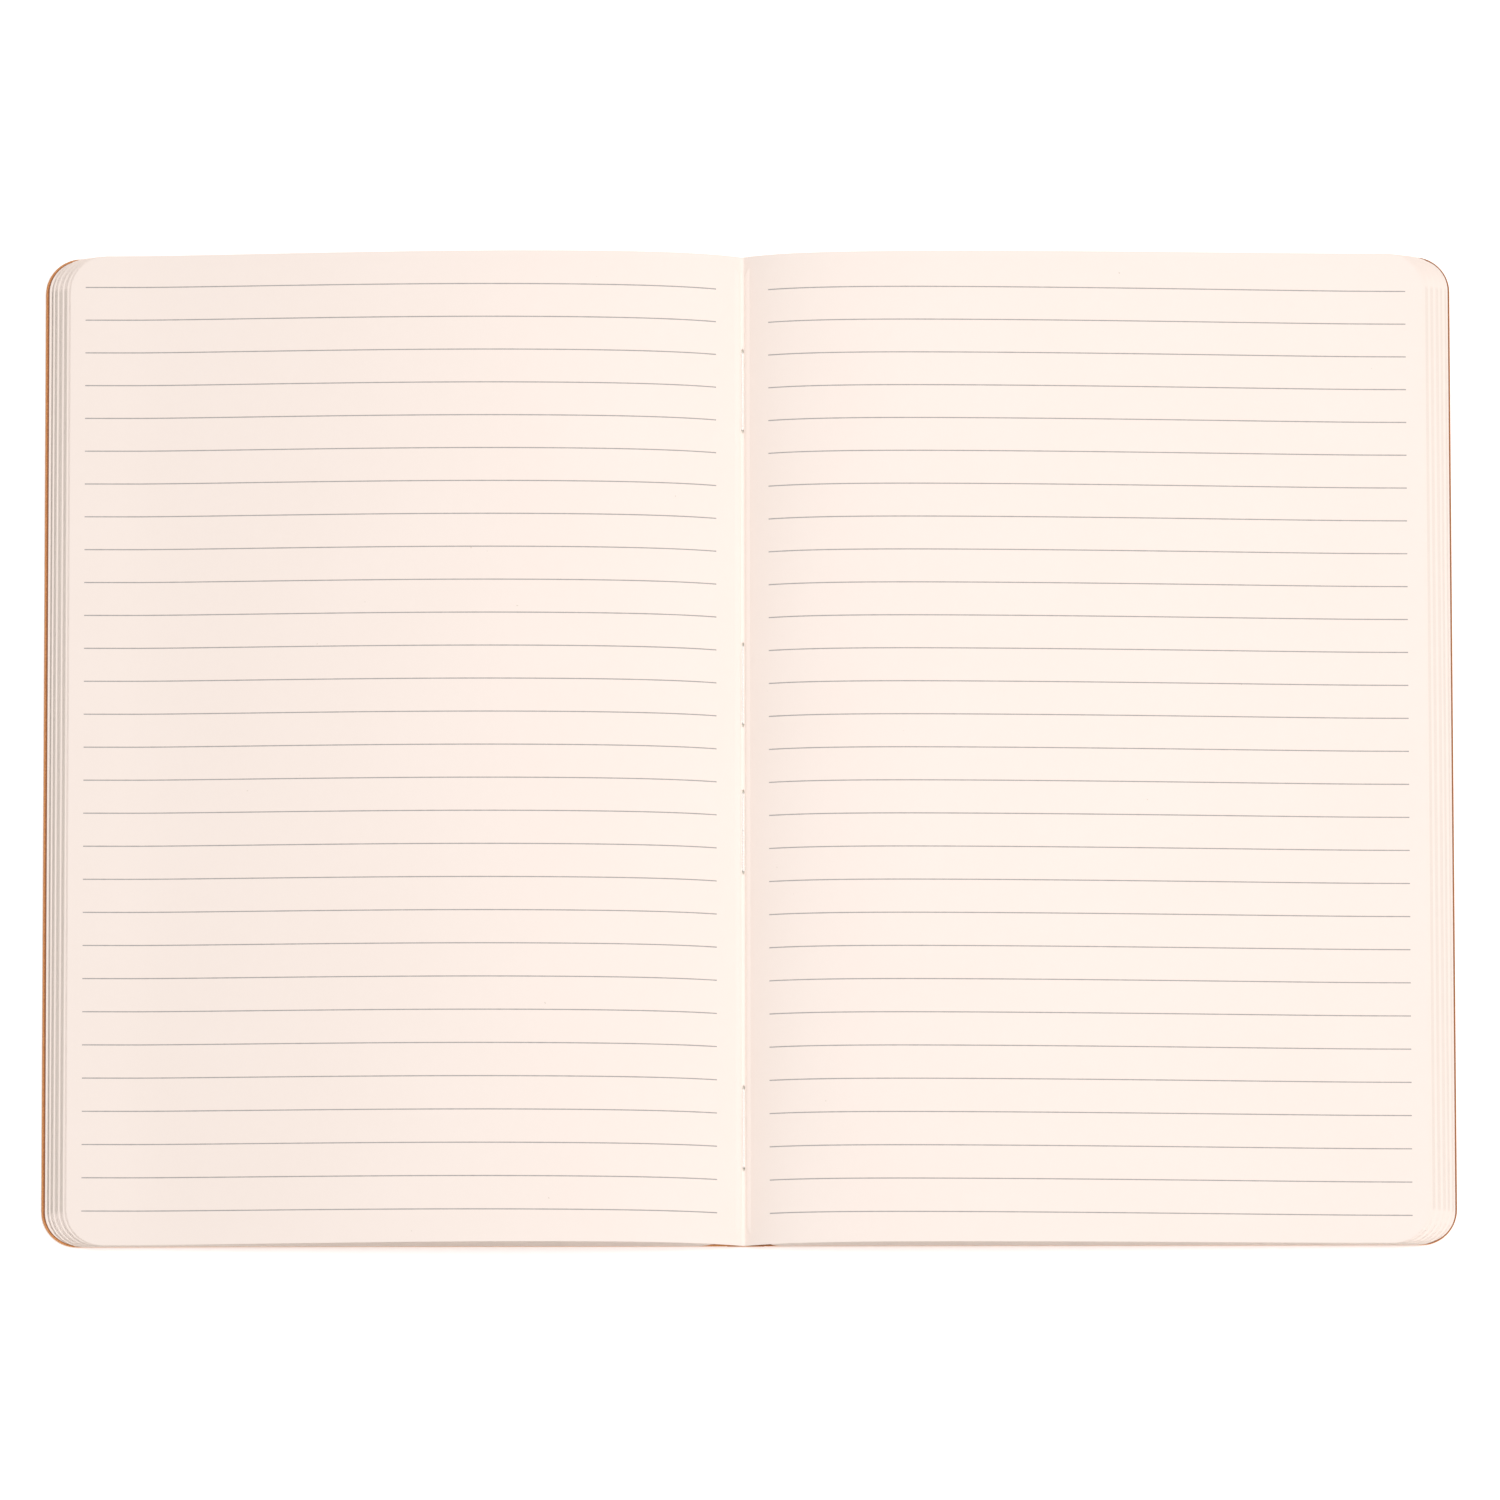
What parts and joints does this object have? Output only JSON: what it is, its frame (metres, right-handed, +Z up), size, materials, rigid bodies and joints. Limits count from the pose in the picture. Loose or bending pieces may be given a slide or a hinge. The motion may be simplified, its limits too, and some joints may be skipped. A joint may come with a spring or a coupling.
{
  "type": "open composition notebook",
  "caption": "Thread-sewn ruled notebook with a soft rounded cover, lying open in the middle of a section, with covers that hinge at the spine creases.",
  "frame": {"origin": "on the table, in the middle of the open spread and halfway between head and tail", "axes": "+X across the spread towards the back cover's fore edge, +Y towards the head of the page, +Z up from the table"},
  "size_m": [0.2962, 0.21, 0.0106],
  "materials": {
    "paper": "smooth uncoated ivory writing paper, ruled in thin blue-grey lines",
    "thread": "twisted white sewing thread",
    "cover": "fine-grained orange imitation leather on card",
    "endpaper": "uncoated ivory endpaper",
    "lining": "open-weave spine gauze set in glue"
  },
  "bodies": {
    "block": {"pages": "paper", "sewing_thread": "thread", "spine_cover": "cover", "spine_lining": "lining"},
    "front": {"front_cover": "cover", "front_pastedown": "endpaper"},
    "back": {"back_cover": "cover", "back_pastedown": "endpaper"}
  },
  "joints": [
    {"name": "front_cover_hinge", "type": "hinge", "parent": "block", "child": "front", "pos_m": [-0.00465, 0, 0], "axis": [0, -1, 0], "range_deg": [0, 90]},
    {"name": "back_cover_hinge", "type": "hinge", "parent": "block", "child": "back", "pos_m": [0.00315, 0, 0], "axis": [0, 1, 0], "range_deg": [0, 90]}
  ]
}
